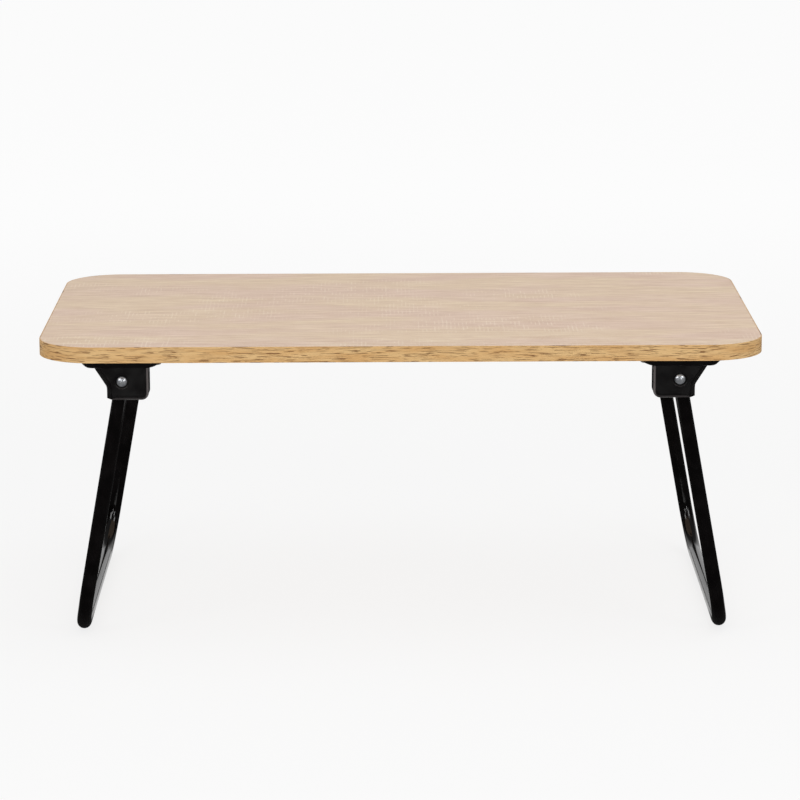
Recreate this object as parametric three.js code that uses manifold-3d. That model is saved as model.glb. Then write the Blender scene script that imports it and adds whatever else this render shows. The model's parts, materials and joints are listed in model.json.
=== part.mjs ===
// A folding lap table: a flat laminated board with rounded corners, carried on two U-bent tube legs.
// Each leg hangs from two moulded brackets and turns on a rivet in each, from splayed open against
// the brackets' outboard walls to flat under the board.
// Millimetres. +X runs along the board's long side, -Y is the front, +Z is up. The origin is on the
// floor under the middle of the board.
import * as THREE from "three";
import { mergeVertices } from "three/addons/utils/BufferGeometryUtils.js";
import Module from "manifold-3d";

// Overall
const TABLE_HEIGHT = 254;
const BOARD_LENGTH = 600;
const BOARD_DEPTH = 350;
const CORNER_RADIUS = 47;

// Board build-up
const GLUE_GAP = 0.1;
const CORE_THICKNESS = 12;
const LAMINATE_THICKNESS = 0.5;
const BAND_THICKNESS = 0.8;
const BOARD_THICKNESS = CORE_THICKNESS + 2 * (LAMINATE_THICKNESS + GLUE_GAP);
const UNDERSIDE_Z = TABLE_HEIGHT - BOARD_THICKNESS;
const CORNER_SEGMENTS = 5;

// Leg
const HINGE_X = 230;
const HINGE_Y = 150;
const HINGE_DROP = 18.4;
const HINGE_Z = UNDERSIDE_Z - HINGE_DROP;
const SPLAY = THREE.MathUtils.degToRad(10.2);
const TUBE_RADIUS = 6;
const TUBE_WALL = 1.2;
const TUBE_PAST_HINGE = 8;
const BEND_RADIUS = 40;
const BEND_STEPS = 6;
const SECTION_SEGMENTS = 8;
const LEG_LENGTH = (HINGE_Z - TUBE_RADIUS) / Math.cos(SPLAY);

// Bracket, measured from the hinge axis: inboard is positive along its length, up is positive
const PLATE_END = 34.4;
const PLATE_HALF_DEPTH = 15;
const PLATE_FOOT_HALF_DEPTH = 12;
const PLATE_TOP = HINGE_DROP - GLUE_GAP;
const PLATE_BOTTOM = PLATE_TOP - 6.5;
const PLATE_LIP = PLATE_TOP - 2.2;
const PLATE_FOOT_OUTBOARD = -28.5;
const PLATE_FOOT_INBOARD = 23.4;
const HOUSING_HALF_DEPTH = 11;
const HOUSING_BOTTOM = -15.6;
const HOUSING_INBOARD = 22;
const HOUSING_OUTBOARD = -12.5;
const HOUSING_SHOULDER = -23;
const HOUSING_WAIST = -3;
const HOUSING_WAIST_LEAD = 1.1;
const HOUSING_WAIST_DROP = 5;
const HOUSING_TOE_RUN = 4;
const HOUSING_TOE_RISE = 1.6;
const HOUSING_CORNER_RADIUS = 6;
const HOUSING_CURVE_SEGMENTS = 6;
const SLOT_CLEARANCE = 0.4;
const STOP_CLEARANCE = 0.3;
const SWEEP_CLEARANCE = 0.5;

// Rivet
const RIVET_RADIUS = 2.5;
const RIVET_HEAD_RADIUS = 4.3;
const RIVET_HEAD_HEIGHT = 2.4;
const RIVET_TAIL_RADIUS = 3.7;
const RIVET_TAIL_HEIGHT = 1.4;
const RIVET_TAIL_BORE_RADIUS = 1.6;
const RIVET_TAIL_BORE_DEPTH = 5;
const RIVET_HOLE_RADIUS = 2.65;
const RIVET_RECESS_RADIUS = 5.75;
const RIVET_RECESS_DEPTH = 1.6;

// Screw
const SCREW_OUTBOARD = -28;
const SCREW_INBOARD = 28.5;
const SCREW_RADIUS = 2;
const SCREW_LENGTH = 14;
const SCREW_POINT_LENGTH = 3;
const SCREW_POINT_RADIUS = 0.3;
const SCREW_HEAD_RADIUS = 3.7;
const SCREW_HEAD_HEIGHT = 2.4;
const SCREW_CROWN_RADIUS = 2.2;
const SCREW_RIM_HEIGHT = 1.1;
const SCREW_SEAT = PLATE_BOTTOM + 2.8;
const SCREW_HOLE_RADIUS = 2.2;
const SCREW_POCKET_RADIUS = 4.1;
const DRIVE_LENGTH = 4.4;
const DRIVE_WIDTH = 1;
const DRIVE_DEPTH = 1.5;

const ROUND_SEGMENTS = 16;
const MERGE_DISTANCE = 1e-4;
const OVERRUN = 1;

const wasm = await Module();
wasm.setup();

// Booleans: a closed three.js geometry as a solid, and a solid as a geometry again.

function toSolid(geometry) {
  const bare = geometry.clone();
  bare.deleteAttribute("normal");
  bare.deleteAttribute("uv");
  const merged = mergeVertices(bare, MERGE_DISTANCE);
  const mesh = new wasm.Mesh({
    numProp: 3,
    vertProperties: merged.attributes.position.array,
    triVerts: new Uint32Array(merged.index.array),
  });
  return new wasm.Manifold(mesh);
}

function toGeometry(solid) {
  const mesh = solid.getMesh();
  const geometry = new THREE.BufferGeometry();
  geometry.setAttribute("position", new THREE.BufferAttribute(mesh.vertProperties, 3));
  geometry.setIndex(new THREE.BufferAttribute(mesh.triVerts, 1));
  geometry.computeVertexNormals();
  return geometry;
}

// An outline in the X-Z plane, made thick along Y about its middle.
function extrudeAcross(shape, thickness, curveSegments = ROUND_SEGMENTS) {
  const geometry = new THREE.ExtrudeGeometry(shape, {
    depth: thickness,
    curveSegments,
    bevelEnabled: false,
  });
  geometry.rotateX(Math.PI / 2);
  geometry.translate(0, thickness / 2, 0);
  return geometry;
}

function polygon(points) {
  return new THREE.Shape(points.map(([x, y]) => new THREE.Vector2(x, y)));
}

// A round bar along Z from one height to another.
function uprightBar(radius, low, high) {
  const geometry = new THREE.CylinderGeometry(radius, radius, high - low, ROUND_SEGMENTS);
  geometry.rotateX(Math.PI / 2);
  geometry.translate(0, 0, (low + high) / 2);
  return geometry;
}

// A round bar along Y about its middle.
function crossBar(radius, length) {
  return new THREE.CylinderGeometry(radius, radius, length, ROUND_SEGMENTS);
}

// A round piece about the Y axis, from pairs of radius and place along the axis.
function turned(profile) {
  const points = profile.map(([radius, along]) => new THREE.Vector2(radius, along));
  return new THREE.LatheGeometry(points, ROUND_SEGMENTS);
}

// Board

// The board's outline, pulled in on every side by the inset.
function boardOutline(inset) {
  const halfLength = BOARD_LENGTH / 2 - inset;
  const halfDepth = BOARD_DEPTH / 2 - inset;
  const radius = CORNER_RADIUS - inset;
  const quarter = Math.PI / 2;
  const outline = new THREE.Shape();
  outline.moveTo(radius - halfLength, -halfDepth);
  outline.absarc(halfLength - radius, radius - halfDepth, radius, -quarter, 0);
  outline.absarc(halfLength - radius, halfDepth - radius, radius, 0, quarter);
  outline.absarc(radius - halfLength, halfDepth - radius, radius, quarter, 2 * quarter);
  outline.absarc(radius - halfLength, radius - halfDepth, radius, 2 * quarter, 3 * quarter);
  return outline;
}

function boardLayer(inset, thickness) {
  return new THREE.ExtrudeGeometry(boardOutline(inset), {
    depth: thickness,
    curveSegments: CORNER_SEGMENTS,
    bevelEnabled: false,
  });
}

// Where the eight bracket screws enter the board.
function screwPlaces() {
  const places = [];
  for (const side of [-1, 1]) {
    for (const end of [-1, 1]) {
      for (const along of [SCREW_OUTBOARD, SCREW_INBOARD]) {
        places.push({ side, end, along, x: side * (HINGE_X - along), y: end * HINGE_Y });
      }
    }
  }
  return places;
}

function drillForScrews(geometry, depth) {
  let solid = toSolid(geometry);
  for (const { x, y } of screwPlaces()) {
    const drill = uprightBar(SCREW_HOLE_RADIUS, -OVERRUN, depth);
    drill.translate(x, y, 0);
    solid = solid.subtract(toSolid(drill));
  }
  return toGeometry(solid);
}

function coreGeometry() {
  const tipAboveUnderside = SCREW_LENGTH - (HINGE_DROP - SCREW_SEAT);
  const core = boardLayer(BAND_THICKNESS + GLUE_GAP, CORE_THICKNESS);
  return drillForScrews(core, tipAboveUnderside);
}

function bottomLaminateGeometry() {
  const sheet = boardLayer(BAND_THICKNESS + GLUE_GAP, LAMINATE_THICKNESS);
  return drillForScrews(sheet, LAMINATE_THICKNESS + OVERRUN);
}

function edgeBandGeometry() {
  const strip = boardOutline(0);
  strip.holes.push(new THREE.Path(boardOutline(BAND_THICKNESS).getPoints(CORNER_SEGMENTS)));
  return new THREE.ExtrudeGeometry(strip, {
    depth: BOARD_THICKNESS,
    curveSegments: CORNER_SEGMENTS,
    bevelEnabled: false,
  });
}

// Leg: one tube, bent twice into a U. Its own frame hangs it straight down from the hinge axis.

// The centreline as a list of stations, so that each straight is one step and each bend is several.
function legStations() {
  const stations = [];
  const addStation = (y, z, turn) => {
    stations.push({
      point: new THREE.Vector3(0, y, z),
      tangent: new THREE.Vector3(0, Math.sin(turn), -Math.cos(turn)),
    });
  };
  const bendZ = BEND_RADIUS - LEG_LENGTH;
  addStation(-HINGE_Y, TUBE_PAST_HINGE, 0);
  for (const end of [-1, 1]) {
    const bendY = end * (HINGE_Y - BEND_RADIUS);
    const startTurn = end < 0 ? 0 : Math.PI / 2;
    for (let step = 0; step <= BEND_STEPS; step++) {
      const turn = startTurn + ((step / BEND_STEPS) * Math.PI) / 2;
      const y = bendY - BEND_RADIUS * Math.cos(turn);
      const z = bendZ - BEND_RADIUS * Math.sin(turn);
      addStation(y, z, turn);
    }
  }
  addStation(HINGE_Y, TUBE_PAST_HINGE, Math.PI);
  return stations;
}

// A curve that is read only at its stations, which share its parameter evenly.
class StationCurve extends THREE.Curve {
  constructor(stations) {
    super();
    this.stations = stations;
  }

  stationAt(t) {
    return this.stations[Math.round(t * (this.stations.length - 1))];
  }

  getPoint(t, target = new THREE.Vector3()) {
    return target.copy(this.stationAt(t).point);
  }

  getPointAt(t, target) {
    return this.getPoint(t, target);
  }

  getTangentAt(t, target = new THREE.Vector3()) {
    return target.copy(this.stationAt(t).tangent);
  }
}

// The section is turned by the splay, so that one of its corners is the line that meets the floor.
function legGeometry() {
  const floorCorner = SPLAY;
  const section = new THREE.Shape();
  section.absarc(0, 0, TUBE_RADIUS, floorCorner, floorCorner + 2 * Math.PI);
  const bore = new THREE.Path();
  bore.absarc(0, 0, TUBE_RADIUS - TUBE_WALL, floorCorner, floorCorner + 2 * Math.PI, true);
  section.holes.push(bore);
  const stations = legStations();
  const tube = new THREE.ExtrudeGeometry(section, {
    steps: stations.length - 1,
    curveSegments: SECTION_SEGMENTS,
    extrudePath: new StationCurve(stations),
  });
  const rivetHole = crossBar(RIVET_HOLE_RADIUS, 2 * (HINGE_Y + TUBE_RADIUS + OVERRUN));
  return toGeometry(toSolid(tube).subtract(toSolid(rivetHole)));
}

// Bracket: a bevelled base plate and a housing of two cheeks, an outboard wall and a roof.

function plateSolid() {
  const side = polygon([
    [-PLATE_END, PLATE_TOP],
    [-PLATE_END, PLATE_LIP],
    [PLATE_FOOT_OUTBOARD, PLATE_BOTTOM],
    [PLATE_FOOT_INBOARD, PLATE_BOTTOM],
    [PLATE_END, PLATE_LIP],
    [PLATE_END, PLATE_TOP],
  ]);
  const end = polygon([
    [-PLATE_HALF_DEPTH, PLATE_TOP],
    [-PLATE_HALF_DEPTH, PLATE_LIP],
    [-PLATE_FOOT_HALF_DEPTH, PLATE_BOTTOM],
    [PLATE_FOOT_HALF_DEPTH, PLATE_BOTTOM],
    [PLATE_HALF_DEPTH, PLATE_LIP],
    [PLATE_HALF_DEPTH, PLATE_TOP],
  ]);
  const along = extrudeAcross(side, 2 * PLATE_HALF_DEPTH);
  const across = extrudeAcross(end, 2 * PLATE_END);
  across.rotateZ(Math.PI / 2);
  return toSolid(along).intersect(toSolid(across));
}

function housingSolid() {
  const corner = HOUSING_CORNER_RADIUS;
  const insidePlate = PLATE_BOTTOM + OVERRUN;
  const waistEnd = HOUSING_WAIST - HOUSING_WAIST_DROP;
  const outline = new THREE.Shape();
  outline.moveTo(HOUSING_SHOULDER, insidePlate);
  outline.lineTo(HOUSING_SHOULDER, PLATE_BOTTOM);
  outline.lineTo(HOUSING_OUTBOARD - HOUSING_WAIST_LEAD, HOUSING_WAIST);
  outline.quadraticCurveTo(
    HOUSING_OUTBOARD,
    HOUSING_WAIST - HOUSING_WAIST_LEAD,
    HOUSING_OUTBOARD,
    waistEnd,
  );
  outline.lineTo(HOUSING_OUTBOARD, HOUSING_BOTTOM + HOUSING_TOE_RISE);
  outline.lineTo(HOUSING_OUTBOARD + HOUSING_TOE_RUN, HOUSING_BOTTOM);
  outline.lineTo(HOUSING_INBOARD - corner, HOUSING_BOTTOM);
  outline.absarc(HOUSING_INBOARD - corner, HOUSING_BOTTOM + corner, corner, -Math.PI / 2, 0);
  outline.lineTo(HOUSING_INBOARD, insidePlate);
  return toSolid(extrudeAcross(outline, 2 * HOUSING_HALF_DEPTH, HOUSING_CURVE_SEGMENTS));
}

// The space the leg turns in: round about the hinge for the tube's end, open below and inboard, and
// closed outboard by a wall that lies along the splayed leg and above by a roof over the folded leg.
function slotSolid() {
  const width = 2 * (TUBE_RADIUS + SLOT_CLEARANCE);
  const stop = TUBE_RADIUS + STOP_CLEARANCE;
  const tubeEndReach = Math.hypot(TUBE_PAST_HINGE, TUBE_RADIUS) + SWEEP_CLEARANCE;
  const below = HOUSING_BOTTOM - OVERRUN;
  const wallTop = new THREE.Vector2(-stop * Math.cos(SPLAY), stop * Math.sin(SPLAY));
  const wallFoot = wallTop.x + (below - wallTop.y) * Math.tan(SPLAY);
  const sweep = polygon([
    [wallTop.x, wallTop.y],
    [wallFoot, below],
    [HOUSING_INBOARD + OVERRUN, below],
    [HOUSING_INBOARD + OVERRUN, TUBE_RADIUS + SLOT_CLEARANCE],
    [0, TUBE_RADIUS + SLOT_CLEARANCE],
  ]);
  const round = toSolid(crossBar(tubeEndReach, width));
  return toSolid(extrudeAcross(sweep, width)).add(round);
}

function bracketGeometry() {
  let solid = plateSolid().add(housingSolid()).subtract(slotSolid());
  solid = solid.subtract(toSolid(crossBar(RIVET_HOLE_RADIUS, 2 * (HOUSING_HALF_DEPTH + OVERRUN))));
  for (const face of [-1, 1]) {
    const recess = crossBar(RIVET_RECESS_RADIUS, 2 * RIVET_RECESS_DEPTH);
    recess.translate(0, face * HOUSING_HALF_DEPTH, 0);
    solid = solid.subtract(toSolid(recess));
  }
  for (const along of [SCREW_OUTBOARD, SCREW_INBOARD]) {
    const hole = uprightBar(SCREW_HOLE_RADIUS, PLATE_BOTTOM - OVERRUN, PLATE_TOP + OVERRUN);
    const pocket = uprightBar(SCREW_POCKET_RADIUS, PLATE_BOTTOM - OVERRUN, SCREW_SEAT);
    hole.translate(along, 0, 0);
    pocket.translate(along, 0, 0);
    solid = solid.subtract(toSolid(hole)).subtract(toSolid(pocket));
  }
  return toGeometry(solid);
}

// Rivet: a domed head to the front, a shank through both cheeks and the tube, and a rolled tail.
function rivetGeometry() {
  const seat = HOUSING_HALF_DEPTH - RIVET_RECESS_DEPTH + GLUE_GAP;
  const domeSteps = 6;
  const profile = [];
  profile.push([0, -seat - RIVET_HEAD_HEIGHT]);
  for (let step = 1; step <= domeSteps; step++) {
    const angle = ((step / domeSteps) * Math.PI) / 2;
    const height = RIVET_HEAD_HEIGHT * Math.cos(angle);
    profile.push([RIVET_HEAD_RADIUS * Math.sin(angle), -seat - height]);
  }
  profile.push([RIVET_RADIUS, -seat]);
  profile.push([RIVET_RADIUS, seat]);
  profile.push([RIVET_TAIL_RADIUS, seat]);
  profile.push([RIVET_TAIL_RADIUS, seat + RIVET_TAIL_HEIGHT / 2]);
  profile.push([RIVET_TAIL_BORE_RADIUS, seat + RIVET_TAIL_HEIGHT]);
  profile.push([RIVET_TAIL_BORE_RADIUS, seat + RIVET_TAIL_HEIGHT - RIVET_TAIL_BORE_DEPTH]);
  profile.push([0, seat + RIVET_TAIL_HEIGHT - RIVET_TAIL_BORE_DEPTH]);
  return turned(profile);
}

// Screw: driven upwards, its head seated at height zero and its point in the board's core.
function screwGeometry() {
  const profile = [
    [0, -SCREW_HEAD_HEIGHT],
    [SCREW_CROWN_RADIUS, -SCREW_HEAD_HEIGHT],
    [SCREW_HEAD_RADIUS, -SCREW_RIM_HEIGHT],
    [SCREW_HEAD_RADIUS, 0],
    [SCREW_RADIUS, 0],
    [SCREW_RADIUS, SCREW_LENGTH - SCREW_POINT_LENGTH],
    [SCREW_POINT_RADIUS, SCREW_LENGTH],
    [0, SCREW_LENGTH],
  ];
  const body = turned(profile);
  body.rotateX(Math.PI / 2);
  let solid = toSolid(body);
  for (const [length, width] of [
    [DRIVE_LENGTH, DRIVE_WIDTH],
    [DRIVE_WIDTH, DRIVE_LENGTH],
  ]) {
    const slot = new THREE.BoxGeometry(length, width, 2 * DRIVE_DEPTH);
    slot.translate(0, 0, -SCREW_HEAD_HEIGHT);
    solid = solid.subtract(toSolid(slot));
  }
  return toGeometry(solid);
}

// Materials

function finish(color, roughness, metalness) {
  return new THREE.MeshStandardMaterial({ color, roughness, metalness });
}

const oakLaminate = finish(0xd7bea5, 0.5, 0);
const oakBand = finish(0xdeb478, 0.5, 0);
const chipboard = finish(0xb9976a, 0.9, 0);
const blackPaint = finish(0x14110f, 0.25, 0.3);
const blackPlastic = finish(0x181412, 0.45, 0);
const zincPlate = finish(0xb8bcc0, 0.3, 1);

// Assembly

const table = new THREE.Group();

function addPiece(parent, name, geometry, material) {
  const mesh = new THREE.Mesh(geometry, material);
  mesh.name = name;
  parent.add(mesh);
  return mesh;
}

function placePiece(name, geometry, material, x, y, z) {
  const mesh = addPiece(table, name, geometry, material);
  mesh.position.set(x, y, z);
  return mesh;
}

const coreZ = UNDERSIDE_Z + LAMINATE_THICKNESS + GLUE_GAP;
const laminateInset = BAND_THICKNESS + GLUE_GAP;
const topSheet = boardLayer(laminateInset, LAMINATE_THICKNESS);
placePiece("bottom_laminate", bottomLaminateGeometry(), oakLaminate, 0, 0, UNDERSIDE_Z);
placePiece("board_core", coreGeometry(), chipboard, 0, 0, coreZ);
placePiece("top_laminate", topSheet, oakLaminate, 0, 0, TABLE_HEIGHT - LAMINATE_THICKNESS);
placePiece("edge_band", edgeBandGeometry(), oakBand, 0, 0, UNDERSIDE_Z);

const sideNames = { "-1": "left", 1: "right" };
const endNames = { "-1": "front", 1: "rear" };

for (const side of [-1, 1]) {
  const leg = new THREE.Group();
  leg.position.set(side * HINGE_X, 0, HINGE_Z);
  leg.rotation.y = -side * SPLAY;
  const tube = addPiece(leg, `${sideNames[side]}_leg_tube`, legGeometry(), blackPaint);
  tube.rotation.z = side < 0 ? 0 : Math.PI;
  table.add(leg);

  for (const end of [-1, 1]) {
    const corner = `${endNames[end]}_${sideNames[side]}`;
    const x = side * HINGE_X;
    const y = end * HINGE_Y;
    const bracket = placePiece(`bracket_${corner}`, bracketGeometry(), blackPlastic, x, y, HINGE_Z);
    bracket.rotation.z = side < 0 ? 0 : Math.PI;
    const rivet = placePiece(`rivet_${corner}`, rivetGeometry(), zincPlate, x, y, HINGE_Z);
    rivet.rotation.z = end < 0 ? 0 : Math.PI;
  }
}

for (const { side, end, along, x, y } of screwPlaces()) {
  const corner = `${endNames[end]}_${sideNames[side]}`;
  const place = along < 0 ? "outer" : "inner";
  const seatZ = HINGE_Z + SCREW_SEAT - GLUE_GAP;
  placePiece(`screw_${corner}_${place}`, screwGeometry(), zincPlate, x, y, seatZ);
}

export default table;
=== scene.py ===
import json
import math

import bmesh
import bpy
from mathutils import Matrix, Vector


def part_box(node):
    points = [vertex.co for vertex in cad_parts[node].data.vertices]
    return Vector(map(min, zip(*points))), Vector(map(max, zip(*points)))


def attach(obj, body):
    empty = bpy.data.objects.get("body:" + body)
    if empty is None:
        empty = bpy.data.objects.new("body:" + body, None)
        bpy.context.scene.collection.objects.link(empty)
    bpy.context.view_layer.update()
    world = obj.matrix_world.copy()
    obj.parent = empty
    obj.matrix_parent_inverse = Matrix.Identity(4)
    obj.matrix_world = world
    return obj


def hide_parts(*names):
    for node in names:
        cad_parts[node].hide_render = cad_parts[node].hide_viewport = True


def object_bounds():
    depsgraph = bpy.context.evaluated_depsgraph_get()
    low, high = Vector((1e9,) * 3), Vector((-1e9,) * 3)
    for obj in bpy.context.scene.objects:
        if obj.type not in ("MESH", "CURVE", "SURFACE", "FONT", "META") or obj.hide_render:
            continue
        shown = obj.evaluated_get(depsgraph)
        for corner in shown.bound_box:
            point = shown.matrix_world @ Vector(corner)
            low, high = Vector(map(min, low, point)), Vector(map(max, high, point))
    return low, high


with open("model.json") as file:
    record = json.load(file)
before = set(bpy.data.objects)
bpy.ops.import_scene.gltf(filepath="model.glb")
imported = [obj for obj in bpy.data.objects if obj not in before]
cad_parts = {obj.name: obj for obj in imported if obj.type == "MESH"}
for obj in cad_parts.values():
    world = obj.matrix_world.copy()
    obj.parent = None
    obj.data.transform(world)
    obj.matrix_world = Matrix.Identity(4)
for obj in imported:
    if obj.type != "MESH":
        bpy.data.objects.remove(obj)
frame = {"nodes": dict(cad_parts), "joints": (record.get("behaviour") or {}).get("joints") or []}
cad_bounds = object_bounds()


# ---------------------------------------------------------------------------------------------
# Studio: a seamless pale floor in a white room, a wide softbox overhead, one to each side and two
# narrow ones in front. In gloss the room is bright only low down behind, so black stays black.
# ---------------------------------------------------------------------------------------------

MM = 0.001
WHITE = (1.0, 1.0, 1.0, 1.0)


def node(tree, kind, inputs=(), **settings):
    """A shader or geometry node with its settings, and its inputs set or linked by name or number."""
    made = tree.nodes.new(kind)
    for name, value in settings.items():
        setattr(made, name, value)
    for name, value in dict(inputs).items():
        socket = made.inputs[name]
        if isinstance(value, bpy.types.NodeSocket):
            tree.links.new(value, socket)
        else:
            socket.default_value = value
    return made


def maths(tree, operation, first, second=0.0):
    return node(tree, "ShaderNodeMath", {0: first, 1: second}, operation=operation).outputs[0]


def between(tree, value, low, high, to_low=0.0, to_high=1.0):
    """The value eased from one range to another, and held at its ends."""
    sockets = {0: value, 1: low, 2: high, 3: to_low, 4: to_high}
    made = node(tree, "ShaderNodeMapRange", sockets, interpolation_type="SMOOTHSTEP")
    return made.outputs[0]


def blended(tree, share, first, second):
    """The first colour turned into the second by a share from 0 to 1."""
    return node(tree, "ShaderNodeMix", {0: share, 6: first, 7: second}, data_type="RGBA").outputs[2]


def tone(red, green, blue):
    """A colour written as it looks on a screen, 0 to 255, as the linear colour that light works in."""
    channels = []
    for level in (red, green, blue):
        share = level / 255
        channels.append(share / 12.92 if share < 0.04045 else ((share + 0.055) / 1.055) ** 2.4)
    return (*channels, 1.0)


def new_object(name, contents):
    made = bpy.data.objects.new(name, contents)
    bpy.context.scene.collection.objects.link(made)
    return made


FLOOR_HALF = 14.0
FLOOR_REFLECTANCE = 0.14
FLOOR_GLOW_NEAR = 0.804
FLOOR_GLOW_FAR = 0.870
ROOM_LEVEL = 0.66
ROOM_SEEN = 0.945
ROOM_GLOSS = 0.85
CEILING_GLOSS = 0.2
HORIZON_TOP = 0.35
HORIZON_FADE = 0.5
CEILING_FROM = 0.35
CEILING_FADE = 0.3
RUNNER_STRIP_FROM = 0.21
RUNNER_STRIP_TO = 0.32
GLOSS_DIMMING = 0.97

scene = bpy.context.scene
scene.view_settings.view_transform = "Standard"

floor_mesh = bpy.data.meshes.new("floor")
corners = [(x * FLOOR_HALF, y * FLOOR_HALF, 0) for x, y in ((-1, -1), (1, -1), (1, 1), (-1, 1))]
floor_mesh.from_pydata(corners, [], [(0, 1, 2, 3)])
floor = new_object("floor", floor_mesh)

floor_finish = bpy.data.materials.new("pale_floor")
floor_finish.use_nodes = True
tree = floor_finish.node_tree
tree.nodes.clear()
place = node(tree, "ShaderNodeTexCoord").outputs["Object"]
split = node(tree, "ShaderNodeSeparateXYZ", {0: place})
gloss = node(tree, "ShaderNodeLightPath").outputs["Is Glossy Ray"]
off_middle = maths(tree, "ABSOLUTE", split.outputs[0])
# In gloss the floor is dim, but for its far part and a strip beside each runner's rear half.
not_too_far = between(tree, off_middle, RUNNER_STRIP_TO + 0.04, RUNNER_STRIP_TO)
far_enough = between(tree, off_middle, RUNNER_STRIP_FROM, RUNNER_STRIP_FROM + 0.03)
beside_legs = maths(tree, "MULTIPLY", far_enough, not_too_far)
runner_strip = maths(tree, "MULTIPLY", beside_legs, between(tree, split.outputs[1], -0.10, -0.04))
near_side = between(tree, split.outputs[1], 2.6, 1.6, 0.0, GLOSS_DIMMING)
in_front = maths(tree, "MULTIPLY", near_side, maths(tree, "SUBTRACT", 1.0, runner_strip))
dimmed = maths(tree, "SUBTRACT", 1.0, maths(tree, "MULTIPLY", gloss, in_front))
reflectance = maths(tree, "MULTIPLY", dimmed, FLOOR_REFLECTANCE)
grey = node(tree, "ShaderNodeCombineColor", {0: reflectance, 1: reflectance, 2: reflectance}).outputs[0]
diffuse = node(tree, "ShaderNodeBsdfDiffuse", {"Color": grey}).outputs[0]
distance = node(tree, "ShaderNodeVectorMath", {0: place}, operation="LENGTH").outputs["Value"]
glow_here = between(tree, distance, 0.4, 2.5, FLOOR_GLOW_NEAR, FLOOR_GLOW_FAR)
glow_level = maths(tree, "MULTIPLY", dimmed, glow_here)
glow = node(tree, "ShaderNodeEmission", {"Color": WHITE, "Strength": glow_level}).outputs[0]
floor_light = node(tree, "ShaderNodeAddShader", {0: diffuse, 1: glow}).outputs[0]
# From below the floor is clear, so the underside of the table can be seen.
below = node(tree, "ShaderNodeNewGeometry").outputs["Backfacing"]
clear = node(tree, "ShaderNodeBsdfTransparent").outputs[0]
one_sided = node(tree, "ShaderNodeMixShader", {0: below, 1: floor_light, 2: clear}).outputs[0]
node(tree, "ShaderNodeOutputMaterial", {"Surface": one_sided})
floor_mesh.materials.append(floor_finish)

room = bpy.data.worlds.new("white_room")
scene.world = room
room.use_nodes = True
tree = room.node_tree
tree.nodes.clear()
direction = node(tree, "ShaderNodeTexCoord").outputs["Generated"]
split = node(tree, "ShaderNodeSeparateXYZ", {0: direction})
low_down = between(tree, split.outputs[2], HORIZON_TOP + HORIZON_FADE, HORIZON_TOP)
behind = between(tree, split.outputs[1], 0.3, 0.7)
ceiling_top = CEILING_FROM + CEILING_FADE
ceiling = between(tree, split.outputs[2], CEILING_FROM, ceiling_top, 0.0, CEILING_GLOSS)
lit = maths(tree, "MAXIMUM", maths(tree, "MULTIPLY", low_down, behind), ceiling)
gloss_level = maths(tree, "MULTIPLY", lit, ROOM_GLOSS)
rays = node(tree, "ShaderNodeLightPath").outputs
seen = node(tree, "ShaderNodeMix", {0: rays["Is Camera Ray"], 2: ROOM_LEVEL, 3: ROOM_SEEN}).outputs[0]
level = node(tree, "ShaderNodeMix", {0: rays["Is Glossy Ray"], 2: seen, 3: gloss_level}).outputs[0]
background = node(tree, "ShaderNodeBackground", {"Color": WHITE, "Strength": level}).outputs[0]
node(tree, "ShaderNodeOutputWorld", {"Surface": background})


def softbox(name, place, target, width, height, power):
    lamp = bpy.data.lights.new(name, "AREA")
    lamp.shape = "RECTANGLE"
    lamp.size = width
    lamp.size_y = height
    lamp.energy = power
    made = new_object(name, lamp)
    made.location = place
    made.rotation_euler = (Vector(target) - Vector(place)).to_track_quat("-Z", "Y").to_euler()
    return made


TABLE_MIDDLE = (cad_bounds[0] + cad_bounds[1]) / 2
overhead = softbox("overhead_softbox", (0.35, -0.2, 2.3), TABLE_MIDDLE, 2.4, 1.4, 14.0)
overhead.visible_glossy = False
for side, sign in (("left", -1), ("right", 1)):
    softbox(f"{side}_softbox", (sign * 1.5, -1.7, 1.1), TABLE_MIDDLE, 0.8, 0.8, 9.0)
    softbox(f"{side}_front_strip", (sign * 1.0, -3.1, 0.7), TABLE_MIDDLE, 0.2, 0.8, 6.0)

# The camera stands 3 m in front on a long lens, half a metre above the board and tipped down
# 12 degrees.
CAMERA_PLACE = (-0.0133, -2.9973, 0.8039)
CAMERA_LENS = 158.2
CAMERA_TURN = math.radians(-0.25)
CAMERA_TIP = math.radians(-11.90)
CAMERA_LEAN = math.radians(0.20)

camera_data = bpy.data.cameras.new("camera")
camera_data.lens = CAMERA_LENS
camera_data.sensor_width = 36.0
camera = new_object("camera", camera_data)
turn = Matrix.Rotation(CAMERA_TURN, 4, "Z")
tip = Matrix.Rotation(CAMERA_TIP, 4, "X")
lean = Matrix.Rotation(CAMERA_LEAN, 4, "Y")
level_camera = Matrix.Rotation(math.radians(90), 4, "X")
camera.matrix_world = Matrix.Translation(CAMERA_PLACE) @ turn @ tip @ lean @ level_camera
scene.camera = camera


# ---------------------------------------------------------------------------------------------
# Board: a 12 mm particle core faced on both sides with half-millimetre laminate printed as
# sawn oak, pressed on in one sheet and routed round with 47 mm corners. The core is the packed
# node itself. Only its end of the screw holes could ever be seen.
# ---------------------------------------------------------------------------------------------

BAND_LOW, BAND_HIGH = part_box("edge_band")
BOARD_HALF_LENGTH = BAND_HIGH.x
BOARD_HALF_DEPTH = BAND_HIGH.y
BOARD_CORNER = 47 * MM
CORNER_STEPS = 24
BAND_THICKNESS = 0.8 * MM
SHEET_INSET = BAND_THICKNESS + 0.02 * MM
SHEET_EDGE = 0.12 * MM
SHEET_EDGE_STEPS = 2
CRISP_FROM = math.radians(35)


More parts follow.
